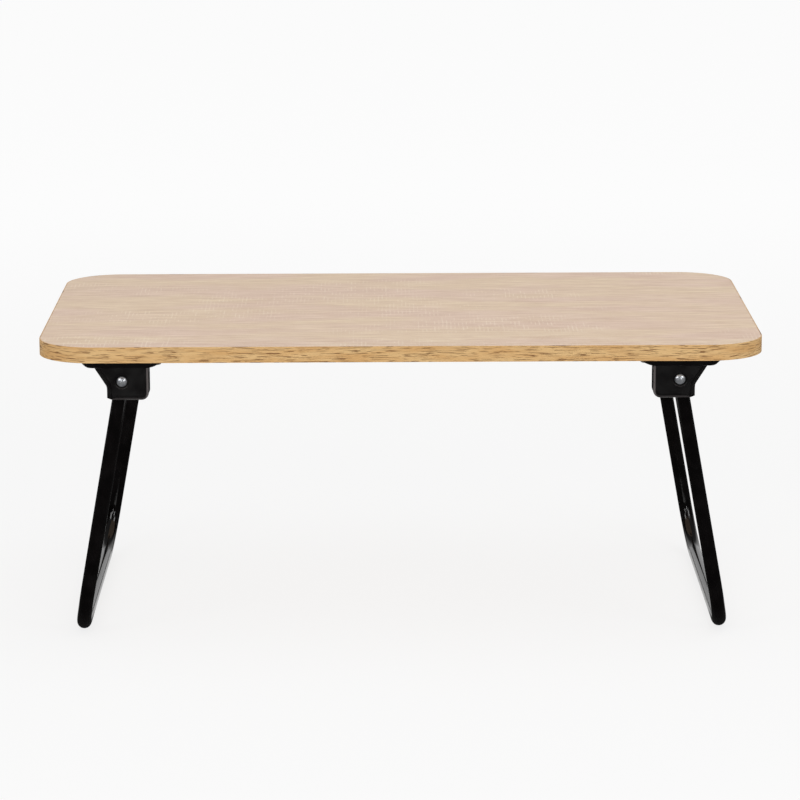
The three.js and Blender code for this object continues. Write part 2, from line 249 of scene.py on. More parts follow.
def board_outline(inset):
    """The board's outline as points, pulled in by the inset, from the middle of the rear edge round."""
    half_length = BOARD_HALF_LENGTH - inset
    half_depth = BOARD_HALF_DEPTH - inset
    radius = BOARD_CORNER - inset
    points = [Vector((0, half_depth))]
    for corner in range(4):
        first = math.pi / 2 + corner * math.pi / 2
        x_side = -1 if corner in (0, 1) else 1
        y_side = 1 if corner in (0, 3) else -1
        middle = Vector((x_side * (half_length - radius), y_side * (half_depth - radius)))
        for step in range(CORNER_STEPS + 1):
            angle = first + step / CORNER_STEPS * math.pi / 2
            points.append(middle + radius * Vector((math.cos(angle), math.sin(angle))))
    return points


def quarter(steps):
    """The sine and cosine at each step of a quarter turn."""
    for step in range(steps + 1):
        angle = step / steps * math.pi / 2
        yield math.sin(angle), math.cos(angle)


def lofted(rings, ends_meet=False):
    """A closed skin through rings of points: capped at both ends, or the last joined to the first."""
    skin = bmesh.new()
    rows = [[skin.verts.new(point) for point in ring] for ring in rings]
    pairs = list(zip(rows, rows[1:]))
    if ends_meet:
        pairs.append((rows[-1], rows[0]))
    else:
        skin.faces.new(rows[0])
        skin.faces.new(rows[-1])
    for row, next_row in pairs:
        for index in range(len(row)):
            following = (index + 1) % len(row)
            skin.faces.new((row[index], row[following], next_row[following], next_row[index]))
    bmesh.ops.recalc_face_normals(skin, faces=skin.faces)
    return skin


def as_object(name, skin):
    mesh = bpy.data.meshes.new(name)
    skin.to_mesh(mesh)
    skin.free()
    return new_object(name, mesh)


def settled(piece):
    """The piece's modifiers worked into its mesh."""
    graph = bpy.context.evaluated_depsgraph_get()
    rough = piece.data
    piece.data = bpy.data.meshes.new_from_object(piece.evaluated_get(graph))
    piece.modifiers.clear()
    bpy.data.meshes.remove(rough)


def worked(piece, tool, operation="DIFFERENCE"):
    """The piece cut by, or joined to, a tool that is used up."""
    change = piece.modifiers.new("work", "BOOLEAN")
    change.operation = operation
    change.solver = "EXACT"
    change.object = tool
    settled(piece)
    bpy.data.objects.remove(tool)


def smoothed(piece):
    """Rounded stretches shaded smooth, corners kept crisp, and flat faces kept flat."""
    piece.data.shade_smooth()
    piece.data.set_sharp_from_angle(angle=CRISP_FROM)
    flats = piece.modifiers.new("flats", "WEIGHTED_NORMAL")
    flats.keep_sharp = True
    flats.weight = 100
    settled(piece)


def finished(piece, material, slot, body, *nodes):
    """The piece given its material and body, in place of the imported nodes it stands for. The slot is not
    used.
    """
    piece.data.name = piece.name
    piece.data.materials.clear()
    piece.data.materials.append(material)
    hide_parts(*nodes)
    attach(piece, body)


def new_group(name, inputs, outputs):
    """An empty shader group with named sockets, and the nodes that stand for them inside it."""
    kinds = {"vector": "NodeSocketVector", "colour": "NodeSocketColor", "value": "NodeSocketFloat"}
    group = bpy.data.node_groups.new(name, "ShaderNodeTree")
    for label, kind in inputs:
        group.interface.new_socket(label, in_out="INPUT", socket_type=kinds[kind])
    for label, kind in outputs:
        group.interface.new_socket(label, in_out="OUTPUT", socket_type=kinds[kind])
    return group, node(group, "NodeGroupInput").outputs, node(group, "NodeGroupOutput").inputs


def scaled(tree, vector, x, y, z):
    return node(tree, "ShaderNodeVectorMath", {0: vector, 1: (x, y, z)}, operation="MULTIPLY").outputs[0]


def noise(tree, vector, detail=2.0, roughness=0.5):
    sockets = {"Vector": vector, "Scale": 1.0, "Detail": detail, "Roughness": roughness}
    return node(tree, "ShaderNodeTexNoise", sockets, noise_dimensions="3D").outputs[0]


def placed_group(tree, group, inputs):
    return node(tree, "ShaderNodeGroup", inputs, node_tree=group).outputs


def new_material(name, **values):
    """A material with one Principled shader, whose constant values sit on its own sockets."""
    material = bpy.data.materials.new(name)
    material.use_nodes = True
    tree = material.node_tree
    tree.nodes.clear()
    sockets = {name.replace("_", " "): value for name, value in values.items()}
    shader = node(tree, "ShaderNodeBsdfPrincipled", sockets)
    node(tree, "ShaderNodeOutputMaterial", {"Surface": shader.outputs[0]})
    return material, tree, shader


def embossed(tree, shader, height, depth):
    """The shader's surface raised by a height from 0 to 1, times the depth in metres."""
    bump = node(tree, "ShaderNodeBump", {"Height": height, "Distance": depth, "Strength": 1.0})
    tree.links.new(bump.outputs[0], shader.inputs["Normal"])


# Oak figure along X, in four masks: broad patches of tint, fine fibre lines, long darker streaks
# and short open pores. The waver bends the lines as real growth rings do.
oak_group, taken, given = new_group(
    "oak_figure",
    [("Vector", "vector"), ("Patch Length", "value"), ("Patch Width", "value"), ("Line Width", "value"),
     ("Pore Length", "value"), ("Pore Width", "value"), ("Waver", "value")],
    [("Patches", "value"), ("Lines", "value"), ("Streaks", "value"), ("Pores", "value")],
)


def stretched_noise(tree, vector, length, width, detail, roughness, waver_socket):
    """Noise drawn out along X, its cells as long and as wide as given, in metres."""
    bend = noise(tree, scaled(tree, vector, 9.0, 26.0, 26.0), 1.0)
    offset = maths(tree, "MULTIPLY", maths(tree, "SUBTRACT", bend, 0.5), waver_socket)
    shift = node(tree, "ShaderNodeCombineXYZ", {1: offset}).outputs[0]
    moved = node(tree, "ShaderNodeVectorMath", {0: vector, 1: shift}, operation="ADD").outputs[0]
    per_length = maths(tree, "DIVIDE", 1.0, length)
    per_width = maths(tree, "DIVIDE", 1.0, width)
    cells = node(tree, "ShaderNodeCombineXYZ", {0: per_length, 1: per_width, 2: per_width}).outputs[0]
    drawn = node(tree, "ShaderNodeVectorMath", {0: moved, 1: cells}, operation="MULTIPLY").outputs[0]
    return noise(tree, drawn, detail, roughness)


waver = taken["Waver"]
patches = stretched_noise(
    oak_group, taken["Vector"], taken["Patch Length"], taken["Patch Width"], 2.0, 0.5, waver
)
line_length = maths(oak_group, "MULTIPLY", taken["Line Width"], 20.0)
lines = stretched_noise(oak_group, taken["Vector"], line_length, taken["Line Width"], 4.0, 0.75, waver)
streak_length = maths(oak_group, "MULTIPLY", taken["Patch Length"], 0.7)
streak_width = maths(oak_group, "MULTIPLY", taken["Patch Width"], 0.11)
streaks = stretched_noise(oak_group, taken["Vector"], streak_length, streak_width, 3.0, 0.6, waver)
pores = stretched_noise(
    oak_group, taken["Vector"], taken["Pore Length"], taken["Pore Width"], 2.0, 0.55, waver
)
oak_group.links.new(between(oak_group, patches, 0.36, 0.64), given["Patches"])
oak_group.links.new(between(oak_group, lines, 0.3, 0.7), given["Lines"])
oak_group.links.new(between(oak_group, streaks, 0.56, 0.74), given["Streaks"])
oak_group.links.new(between(oak_group, pores, 0.545, 0.6), given["Pores"])

YELLOW_BEIGE = tone(230, 208, 178)
PINK_BEIGE = tone(226, 200, 180)
STREAK_BEIGE = tone(189, 157, 135)
SAW_MARK = tone(242, 228, 208)
SAW_PITCH = 3.4 * MM
WAVE_REPEAT = 0.314
LAMINATE_EMBOSS = 0.06 * MM

oak_laminate, tree, shader = new_material("oak_laminate", Specular_IOR_Level=0.35)
place = node(tree, "ShaderNodeTexCoord").outputs["Object"]
figure = placed_group(tree, oak_group, {
    "Vector": place, "Patch Length": 0.15, "Patch Width": 0.05, "Line Width": 2.4 * MM,
    "Pore Length": 22 * MM, "Pore Width": 1.1 * MM, "Waver": 0.007,
})
ground = blended(tree, figure["Patches"], YELLOW_BEIGE, PINK_BEIGE)
lined = blended(tree, maths(tree, "MULTIPLY", figure["Lines"], 0.58), ground, STREAK_BEIGE)
streaked = blended(tree, maths(tree, "MULTIPLY", figure["Streaks"], 0.3), lined, STREAK_BEIGE)
pored = blended(tree, maths(tree, "MULTIPLY", figure["Pores"], 0.25), streaked, STREAK_BEIGE)
# Band-saw marks: thin pale dashes across the grain at the pitch of the saw's teeth, in clusters.
# A wave texture of scale 1 repeats every WAVE_REPEAT metres.
teeth = node(tree, "ShaderNodeTexWave", {
    "Vector": place, "Scale": WAVE_REPEAT / SAW_PITCH,
    "Distortion": 1.6, "Detail": 1.0, "Detail Scale": 0.35,
}, bands_direction="X").outputs["Fac"]
strokes = between(tree, noise(tree, scaled(tree, place, 170.0, 85.0, 85.0), 1.0), 0.46, 0.64)
dashes = maths(tree, "MULTIPLY", between(tree, teeth, 0.62, 0.96), strokes)
clusters = between(tree, noise(tree, scaled(tree, place, 7.0, 13.0, 13.0), 1.0), 0.47, 0.66)
marks = maths(tree, "MULTIPLY", dashes, clusters)
coloured = blended(tree, maths(tree, "MULTIPLY", marks, 0.34), pored, SAW_MARK)
tree.links.new(coloured, shader.inputs["Base Color"])
tree.links.new(between(tree, figure["Lines"], 0.0, 1.0, 0.42, 0.56), shader.inputs["Roughness"])
relief = maths(tree, "SUBTRACT", figure["Lines"], figure["Pores"])
embossed(tree, shader, relief, LAMINATE_EMBOSS)

sheet_low, sheet_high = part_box("top_laminate")
sheet_rings = [(0.0, sheet_low.z)]
for sine, cosine in quarter(SHEET_EDGE_STEPS):
    sheet_rings.append((SHEET_EDGE * (1 - cosine), sheet_high.z - SHEET_EDGE * (1 - sine)))
top_sheet = as_object("top_sheet", lofted(
    [[(*point, z) for point in board_outline(SHEET_INSET + inset)] for inset, z in sheet_rings]
))
smoothed(top_sheet)
finished(top_sheet, oak_laminate, "oak_laminate", "table_top", "top_laminate")

# The backing sheet is the same laminate, drilled for the eight bracket screws.
SCREW_HOLE = 2.2 * MM
DRILL_STEPS = 32
SCREWS = [name for name in frame["nodes"] if name.startswith("screw_")]


def round_bar(radius, low, high):
    """Rings of an upright round bar, for a drill."""
    rings = []
    for z in (low, high):
        angles = [step / DRILL_STEPS * 2 * math.pi for step in range(DRILL_STEPS)]
        rings.append([Vector((radius * math.cos(angle), radius * math.sin(angle), z)) for angle in angles])
    return rings


sheet_low, sheet_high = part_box("bottom_laminate")
backing_sheet = as_object("backing_sheet", lofted(
    [[(*point, z) for point in board_outline(SHEET_INSET)] for z in (sheet_low.z, sheet_high.z)]
))
drills = bmesh.new()
for name in SCREWS:
    low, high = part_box(name)
    bar = lofted(round_bar(SCREW_HOLE, sheet_low.z - 1 * MM, sheet_high.z + 1 * MM))
    bar.transform(Matrix.Translation(((low.x + high.x) / 2, (low.y + high.y) / 2, 0)))
    loose = bpy.data.meshes.new("drill")
    bar.to_mesh(loose)
    bar.free()
    drills.from_mesh(loose)
    bpy.data.meshes.remove(loose)
worked(backing_sheet, as_object("drills", drills))
smoothed(backing_sheet)
finished(backing_sheet, oak_laminate, "oak_laminate", "table_top", "bottom_laminate")

# Pressed wood particles in resin, seen only down a screw hole.
particle_core, tree, shader = new_material("particle_core", Specular_IOR_Level=0.2)
place = node(tree, "ShaderNodeTexCoord").outputs["Object"]
flakes = noise(tree, scaled(tree, place, 420.0, 420.0, 1300.0), 3.0, 0.65)
chips = blended(tree, between(tree, flakes, 0.35, 0.65), tone(150, 112, 70), tone(206, 172, 124))
tree.links.new(chips, shader.inputs["Base Color"])
tree.links.new(between(tree, flakes, 0.0, 1.0, 0.7, 0.95), shader.inputs["Roughness"])
embossed(tree, shader, flakes, 0.3 * MM)
core = frame["nodes"]["board_core"]
core.data.materials.clear()
core.data.materials.append(particle_core)


# ---------------------------------------------------------------------------------------------
# Edge band: a 0.8 mm strip printed as open-pored golden oak, ironed on round the routed edge
# with hot glue and trimmed flush. Its two ends meet in a butt joint at the middle of the back.
# ---------------------------------------------------------------------------------------------

BAND_EDGE = 0.2 * MM
BAND_EDGE_STEPS = 4
BAND_SEAM = 0.05 * MM

band_rings = [(BAND_THICKNESS, BAND_LOW.z)]
for sine, cosine in quarter(BAND_EDGE_STEPS):
    band_rings.append((BAND_EDGE * (1 - sine), BAND_LOW.z + BAND_EDGE * (1 - cosine)))
for sine, cosine in quarter(BAND_EDGE_STEPS):
    band_rings.append((BAND_EDGE * (1 - cosine), BAND_HIGH.z - BAND_EDGE * (1 - sine)))
band_rings.append((BAND_THICKNESS, BAND_HIGH.z))


def edge_strip_mesh():
    """The strip swept round the board from the joint, with its length and height kept as a map."""
    strip = bmesh.new()
    grain_map = strip.loops.layers.uv.new("grain")
    outer = board_outline(0.0)
    outer[0].x -= BAND_SEAM / 2
    outer.append(Vector((BAND_SEAM / 2, outer[0].y)))
    lengths = [0.0]
    for index in range(1, len(outer)):
        lengths.append(lengths[-1] + (outer[index] - outer[index - 1]).length)
    columns = []
    insets = {inset: board_outline(inset) for inset, z in band_rings}
    for index in range(len(outer)):
        column = []
        for inset, z in band_rings:
            point = Vector((outer[index].x, outer[0].y - inset))
            if 0 < index < len(outer) - 1:
                point = insets[inset][index]
            column.append(strip.verts.new((*point, z)))
        columns.append(column)
    around = len(band_rings)
    for index in range(len(columns) - 1):
        for level in range(around):
            above = (level + 1) % around
            corners = [(index, level), (index, above), (index + 1, above), (index + 1, level)]
            face = strip.faces.new([columns[place][height] for place, height in corners])
            for loop, (place, height) in zip(face.loops, corners):
                loop[grain_map].uv = (lengths[place], columns[place][height].co.z)
    for column in (columns[0], columns[-1]):
        strip.faces.new(column)
    bmesh.ops.recalc_face_normals(strip, faces=strip.faces)
    return strip


GOLD = tone(213, 177, 123)
ORANGE = tone(203, 160, 103)
PORE_BROWN = tone(112, 70, 32)
STREAK_GOLD = tone(174, 130, 77)
BAND_EMBOSS = 0.08 * MM

oak_band, tree, shader = new_material("oak_edge_band", Specular_IOR_Level=0.4)
strip_map = node(tree, "ShaderNodeUVMap", uv_map="grain").outputs[0]
figure = placed_group(tree, oak_group, {
    "Vector": strip_map, "Patch Length": 0.05, "Patch Width": 7 * MM, "Line Width": 0.7 * MM,
    "Pore Length": 14 * MM, "Pore Width": 0.8 * MM, "Waver": 0.004,
})
ground = blended(tree, figure["Patches"], GOLD, ORANGE)
lined = blended(tree, maths(tree, "MULTIPLY", figure["Lines"], 0.36), ground, STREAK_GOLD)
streaked = blended(tree, maths(tree, "MULTIPLY", figure["Streaks"], 0.35), lined, STREAK_GOLD)
rows = between(tree, noise(tree, scaled(tree, strip_map, 30.0, 420.0, 1.0), 1.0), 0.4, 0.55, 0.35, 1.0)
pore_share = maths(tree, "MULTIPLY", figure["Pores"], rows)
coloured = blended(tree, maths(tree, "MULTIPLY", pore_share, 0.88), streaked, PORE_BROWN)
tree.links.new(coloured, shader.inputs["Base Color"])
tree.links.new(between(tree, pore_share, 0.0, 1.0, 0.45, 0.7), shader.inputs["Roughness"])
hollows = maths(tree, "MULTIPLY", pore_share, 2.0)
embossed(tree, shader, maths(tree, "SUBTRACT", figure["Lines"], hollows), BAND_EMBOSS)

edge_strip = as_object("edge_strip", edge_strip_mesh())
smoothed(edge_strip)
finished(edge_strip, oak_band, "oak_edge_band", "table_top", "edge_band")


# ---------------------------------------------------------------------------------------------
# Leg brackets: four alike, moulded in black polypropylene. A boat-shaped base plate carries two
# cheeks with a slot between them for the tube, closed outboard by the wall that stops the open
# leg. Each is screwed up into the board at both ends of its plate.
# ---------------------------------------------------------------------------------------------

HINGE = {joint["child"]: Vector(joint["pos_m"]) for joint in frame["joints"]}
HINGE_Z = HINGE["left_leg"].z
BRACKET_LOW, BRACKET_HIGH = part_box("bracket_front_left")
HINGE_Y = -(BRACKET_LOW.y + BRACKET_HIGH.y) / 2
SPLAY = math.radians(10.2)
TUBE_RADIUS = 6 * MM
TUBE_PAST_HINGE = 8 * MM
CLEARANCE = 0.4 * MM
SWEEP_RADIUS = math.hypot(TUBE_PAST_HINGE, TUBE_RADIUS) + 0.5 * MM
SWEEP_STEPS = 24

PLATE_HALF_LENGTH = (BRACKET_HIGH.x - BRACKET_LOW.x) / 2
PLATE_HALF_DEPTH = (BRACKET_HIGH.y - BRACKET_LOW.y) / 2
PLATE_TOP = BRACKET_HIGH.z - HINGE_Z
PLATE_LIP = PLATE_TOP - 0.8 * MM
PLATE_BOTTOM = PLATE_TOP - 6.5 * MM
PLATE_CORNER = 7 * MM
PLATE_RUN_OUTBOARD = 6.5 * MM
PLATE_RUN_INBOARD = 11 * MM
PLATE_RUN_SIDES = 3 * MM
PLATE_SLANT = 0.55
PLATE_BELLY_STEPS = 10
PLATE_CORNER_STEPS = 8

CHEEK_FACE = 11 * MM
CHEEK_STRIP = 3.3 * MM
CHEEK_STRIP_DEPTH = 8.5 * MM
CHEEK_STRIP_ROUNDING = 0.8 * MM
CHEEK_BOTTOM = BRACKET_LOW.z - HINGE_Z
CHEEK_INBOARD = 22 * MM
CHEEK_OUTBOARD = -12.5 * MM
CHEEK_SHOULDER = -23 * MM
CHEEK_WAIST = -3 * MM
CHEEK_CORNER = 6 * MM
CHEEK_ROUNDING = 2.5 * MM
CHEEK_FOOT_ROUNDING = 1.6
CHEEK_OUTBOARD_ROUNDING = 0.4
CHEEK_ROUNDING_STEPS = 8
CHEEK_TOP = PLATE_BOTTOM + 5 * MM
CHEEK_CORNER_STEPS = 12
WAIST_EASE = 1.1 * MM
WAIST_RUN = 5 * MM
WAIST_STEPS = 8
FOOT_RISE = 1.6 * MM
FOOT_RUN = 4 * MM

RECESS_RADIUS = 5.75 * MM
RECESS_DEPTH = 1.6 * MM
RECESS_LIP = 0.45 * MM
RECESS_LIP_STEPS = 3
RECESS_CORNER = 0.3 * MM
RECESS_STEPS = 48
RIVET_HOLE = 2.65 * MM
SCREW_ALONG = (-28 * MM, 28.5 * MM)
SCREW_SEAT = PLATE_BOTTOM + 2.8 * MM
SCREW_POCKET = 4.1 * MM
STOP_GAP = 0.3 * MM


def plate_rings():
    """The base plate from its flat top down its slanted, rounded belly, narrower at each ring."""
    levels = [(0.0, PLATE_TOP)]
    for sine, cosine in quarter(PLATE_BELLY_STEPS):
        pull = PLATE_SLANT * sine + (1 - PLATE_SLANT) * (1 - cosine)
        levels.append((pull, PLATE_LIP - sine * (PLATE_LIP - PLATE_BOTTOM)))
    rings = []
    for pull, height in levels:
        outboard = PLATE_HALF_LENGTH - pull * PLATE_RUN_OUTBOARD
        inboard = PLATE_HALF_LENGTH - pull * PLATE_RUN_INBOARD
        half_depth = PLATE_HALF_DEPTH - pull * PLATE_RUN_SIDES
        radius = PLATE_CORNER - pull * PLATE_RUN_SIDES
        ring = []
        for corner in range(4):
            across = half_depth - radius if corner in (0, 1) else radius - half_depth
            along = inboard - radius if corner in (0, 3) else radius - outboard
            for step in range(PLATE_CORNER_STEPS + 1):
                angle = (corner + step / PLATE_CORNER_STEPS) * math.pi / 2
                ring.append((along + radius * math.cos(angle), across + radius * math.sin(angle), height))
        rings.append(ring)
    return rings


def cheek_outline(strip):
    """The housing seen from the side, as points along and up, its outboard edge pulled in by a strip."""
    shoulder = CHEEK_SHOULDER + strip
    outboard = CHEEK_OUTBOARD + strip
    points = [Vector((shoulder, CHEEK_TOP)), Vector((shoulder, PLATE_BOTTOM))]
    slope_end = Vector((outboard - WAIST_EASE, CHEEK_WAIST))
    bend = Vector((outboard, CHEEK_WAIST - WAIST_EASE))
    waist_end = Vector((outboard, CHEEK_WAIST - WAIST_RUN))
    for step in range(WAIST_STEPS + 1):
        share = step / WAIST_STEPS
        points.append(
            (1 - share) ** 2 * slope_end + 2 * share * (1 - share) * bend + share**2 * waist_end
        )
    rise = FOOT_RISE * (1 - strip / FOOT_RUN)
    points.append(Vector((outboard, CHEEK_BOTTOM + rise)))
    points.append(Vector((outboard + FOOT_RUN, CHEEK_BOTTOM)))
    middle = Vector((CHEEK_INBOARD - CHEEK_CORNER, CHEEK_BOTTOM + CHEEK_CORNER))
    for step in range(CHEEK_CORNER_STEPS + 1):
        angle = -math.pi / 2 + step / CHEEK_CORNER_STEPS * math.pi / 2
        points.append(middle + CHEEK_CORNER * Vector((math.cos(angle), math.sin(angle))))
    points.append(Vector((CHEEK_INBOARD, CHEEK_TOP)))
    return points


def pulled_in(outline, distance):
    """The housing's outline offset inwards, more where it faces down and less where it faces outboard."""
    made = []
    for index, point in enumerate(outline):
        before = (point - outline[index - 1]).normalized()
        after = (outline[(index + 1) % len(outline)] - point).normalized()
        inward = Vector((-before.y - after.y, before.x + after.x)).normalized()
        widening = 1 / max(0.5, inward.dot(Vector((-before.y, before.x))))
        factor = 1 + (CHEEK_FOOT_ROUNDING - 1) * max(0.0, inward.y) ** 2
        factor += (CHEEK_OUTBOARD_ROUNDING - 1) * max(0.0, inward.x) ** 2
        made.append(point + distance * widening * factor * inward)
    return made


def housing_rings():
    """The housing from front to back: a raised face with its edges rounded over, then the lower strip."""
    faces = []
    for sine, cosine in quarter(CHEEK_ROUNDING_STEPS):
        inset = pulled_in(cheek_outline(CHEEK_STRIP), CHEEK_ROUNDING * (1 - sine))
        faces.append((CHEEK_FACE - CHEEK_ROUNDING * (1 - cosine), inset))
    for sine, cosine in quarter(CHEEK_ROUNDING_STEPS):
        depth = CHEEK_STRIP_DEPTH - 0.02 * MM - CHEEK_STRIP_ROUNDING * (1 - cosine)
        faces.append((depth, cheek_outline(CHEEK_STRIP_ROUNDING * (1 - sine))))
    rings = [[(point.x, -depth, point.y) for point in ring] for depth, ring in faces]
    rings += [[(point.x, depth, point.y) for point in ring] for depth, ring in reversed(faces)]
    return rings


def plain_slab(outline, half_depth):
    faces = (-half_depth, half_depth)
    return lofted([[(point.x, depth, point.y) for point in outline] for depth in faces])


def turned(profile, steps, axis="Y"):
    """A round piece from pairs of radius and place along its axis, closed where the radius is zero."""
    skin = bmesh.new()
    rows = []
    for radius, along in profile:
        if radius == 0:
            rows.append([skin.verts.new((0, 0, along))])
            continue
        angles = [step / steps * 2 * math.pi for step in range(steps)]
        rows.append([skin.verts.new((radius * math.cos(a), radius * math.sin(a), along)) for a in angles])
    for row, next_row in zip(rows, rows[1:]):
        for index in range(steps):
            following = (index + 1) % steps
            around = [row[index % len(row)], row[following % len(row)]]
            around += [next_row[following % len(next_row)], next_row[index % len(next_row)]]
            skin.faces.new(list(dict.fromkeys(around)))
    bmesh.ops.recalc_face_normals(skin, faces=skin.faces)
    if axis == "Y":
        skin.transform(Matrix.Rotation(math.radians(-90), 4, "X"))
    return skin


def slot_outline():
    """The space the tube swings through: round over its end, a stop wall down the open leg, and a roof."""
    stop = TUBE_RADIUS + STOP_GAP
    roof = TUBE_RADIUS + CLEARANCE
    below = CHEEK_BOTTOM - 1 * MM
    beyond = CHEEK_INBOARD + 1 * MM
    roof_angle = math.asin(roof / SWEEP_RADIUS)
    wall_angle = 1.5 * math.pi - SPLAY - math.asin(stop / SWEEP_RADIUS)
    arc = []
    for step in range(SWEEP_STEPS + 1):
        angle = roof_angle + step / SWEEP_STEPS * (wall_angle - roof_angle)
        arc.append(SWEEP_RADIUS * Vector((math.cos(angle), math.sin(angle))))
    wall_foot = Vector((arc[-1].x + (below - arc[-1].y) * math.tan(SPLAY), below))
    return [*arc, wall_foot, Vector((beyond, below)), Vector((beyond, roof))]


def rivet_drill(reach):
    """A bar along Y as thick as the rivet's hole, reaching as far to the front as to the back."""
    profile = [(0, -reach), (RIVET_HOLE, -reach), (RIVET_HOLE, reach), (0, reach)]
    return as_object("rivet_drill", turned(profile, DRILL_STEPS))


def moulded_bracket():
    """One bracket about its hinge, inboard along X, with its slot, rivet hole, recesses and pockets."""
    bracket = as_object("bracket", lofted(plate_rings()))
    worked(bracket, as_object("housing", lofted(housing_rings())), "UNION")
    worked(bracket, as_object("slot", plain_slab(slot_outline(), TUBE_RADIUS + CLEARANCE)))
    worked(bracket, rivet_drill(CHEEK_FACE + 1 * MM))
    for face in (-1, 1):
        floor_of_recess = face * (CHEEK_FACE - RECESS_DEPTH)
        lip = face * (CHEEK_FACE - RECESS_LIP)
        clear = face * (CHEEK_FACE + 1 * MM)
        profile = [(0, floor_of_recess), (RECESS_RADIUS - RECESS_CORNER, floor_of_recess)]
        profile += [(RECESS_RADIUS, floor_of_recess + face * RECESS_CORNER), (RECESS_RADIUS, lip)]
        for sine, cosine in quarter(RECESS_LIP_STEPS):
            profile.append((RECESS_RADIUS + RECESS_LIP * (1 - cosine), lip + face * RECESS_LIP * sine))
        profile += [(RECESS_RADIUS + RECESS_LIP, clear), (0, clear)]
        worked(bracket, as_object("recess", turned(profile, RECESS_STEPS)))
    for along in SCREW_ALONG:
        below = PLATE_BOTTOM - 1 * MM
        above = PLATE_TOP + 1 * MM
        profile = [(0, below), (SCREW_POCKET, below), (SCREW_POCKET, SCREW_SEAT)]
        profile += [(SCREW_HOLE, SCREW_SEAT), (SCREW_HOLE, above), (0, above)]
        pocket = turned(profile, DRILL_STEPS, axis="Z")
        pocket.transform(Matrix.Translation((along, 0, 0)))
        worked(bracket, as_object("pocket", pocket))
    return bracket


# What handling leaves: scuffs, smudges that change the gloss, and a fine moulded or sprayed grain.
handled_group, taken, given = new_group(
    "handled_surface",
    [("Vector", "vector"), ("Scuff Size", "value"), ("Grain Size", "value")],
    [("Scuffs", "value"), ("Smudges", "value"), ("Grain", "value")],
)


def cell_noise(tree, vector, size, detail, roughness):
    per_metre = maths(tree, "DIVIDE", 1.0, size)
    cells = node(tree, "ShaderNodeVectorMath", {0: vector, 3: per_metre}, operation="SCALE").outputs[0]
    return noise(tree, cells, detail, roughness)


place = taken["Vector"]
long_way = scaled(handled_group, place, 1.0, 0.35, 1.6)
scuffs = cell_noise(handled_group, long_way, taken["Scuff Size"], 4.0, 0.75)
smudge_size = maths(handled_group, "MULTIPLY", taken["Scuff Size"], 7.0)
smudges = cell_noise(handled_group, place, smudge_size, 2.0, 0.5)
grain = cell_noise(handled_group, place, taken["Grain Size"], 1.0, 0.5)
handled_group.links.new(between(handled_group, scuffs, 0.62, 0.74), given["Scuffs"])
handled_group.links.new(between(handled_group, smudges, 0.3, 0.7), given["Smudges"])
handled_group.links.new(grain, given["Grain"])

# The pale grey painted onto rounded edges as a highlight.
PAINTED_EDGE_HIGHLIGHT = tone(88, 83, 83)

black_plastic, tree, shader = new_material("black_plastic", Specular_IOR_Level=0.4)
place = node(tree, "ShaderNodeTexCoord").outputs["Object"]
surface = placed_group(tree, handled_group, {
    "Vector": place, "Scuff Size": 1.5 * MM, "Grain Size": 0.35 * MM,
})
ground = blended(tree, surface["Smudges"], tone(6, 4, 5), tone(10, 8, 8))
scuffed = blended(tree, maths(tree, "MULTIPLY", surface["Scuffs"], 0.3), ground, tone(52, 48, 47))
# Painted highlights, chosen by the way the normals face: the upright inboard roundings are painted pale
# most, and the foot and the lower lip of the rivet's recess a little.
split = node(tree, "ShaderNodeSeparateXYZ", {0: node(tree, "ShaderNodeTexCoord").outputs["Normal"]})
faces_x, faces_y, faces_z = [
    between(tree, maths(tree, "ABSOLUTE", socket), 0.2, 0.5) for socket in split.outputs[:3]
]
recess_lip_highlight = maths(tree, "MULTIPLY", between(tree, split.outputs[2], 0.3, 0.6), faces_y)
split = node(tree, "ShaderNodeSeparateXYZ", {0: place})
edge_x = HINGE["right_leg"].x - CHEEK_INBOARD + CHEEK_ROUNDING
inboard = between(tree, maths(tree, "ABSOLUTE", split.outputs[0]), edge_x + 1 * MM, edge_x)
plate_z = HINGE_Z + PLATE_BOTTOM
under_plate = between(tree, split.outputs[2], plate_z, plate_z - 0.5 * MM)
foot_z = HINGE_Z + CHEEK_BOTTOM + CHEEK_ROUNDING
foot = between(tree, split.outputs[2], foot_z + 3 * MM, foot_z + 2 * MM)
upright_highlight = maths(tree, "MULTIPLY", maths(tree, "MULTIPLY", faces_x, faces_y), inboard)
upright_highlight = maths(tree, "MULTIPLY", upright_highlight, under_plate)
level_highlight = maths(tree, "MULTIPLY", maths(tree, "MULTIPLY", faces_z, faces_y), foot)
level_highlight = maths(tree, "MULTIPLY", maths(tree, "MAXIMUM", level_highlight, recess_lip_highlight), 0.3)
painted_highlight_mask = maths(tree, "MAXIMUM", upright_highlight, level_highlight)
# The painted edge highlight laid over the plastic's own colour.
highlighted_colour = blended(tree, painted_highlight_mask, scuffed, PAINTED_EDGE_HIGHLIGHT)
tree.links.new(highlighted_colour, shader.inputs["Base Color"])
gloss_share = maths(tree, "ADD", surface["Smudges"], maths(tree, "MULTIPLY", surface["Scuffs"], 0.6))
tree.links.new(between(tree, gloss_share, 0.0, 1.6, 0.28, 0.5), shader.inputs["Roughness"])
embossed(tree, shader, surface["Grain"], 0.035 * MM)

master = moulded_bracket()
smoothed(master)
for side, turn_by in (("left", 0.0), ("right", math.pi)):
    for end, y in (("front", -HINGE_Y), ("rear", HINGE_Y)):
        corner = f"{end}_{side}"
        mesh = master.data.copy()
        hinge = HINGE[f"{side}_leg"]
        mesh.transform(Matrix.Translation((hinge.x, y, hinge.z)) @ Matrix.Rotation(turn_by, 4, "Z"))
        bracket = new_object(f"{corner}_bracket", mesh)
        finished(bracket, black_plastic, "black_plastic", "table_top", f"bracket_{corner}")
bpy.data.objects.remove(master)


# ---------------------------------------------------------------------------------------------
# Rivets and screws: a zinc-plated semi-tubular rivet pins each leg end through both cheeks, its
# domed head to the outside and its tail rolled over inside. Two pan-head screws with a cross
# recess hold each bracket. Like ones are made once and set at the table's four corners.
# ---------------------------------------------------------------------------------------------

RIVET_STEPS = 40
SCREW_STEPS = 28


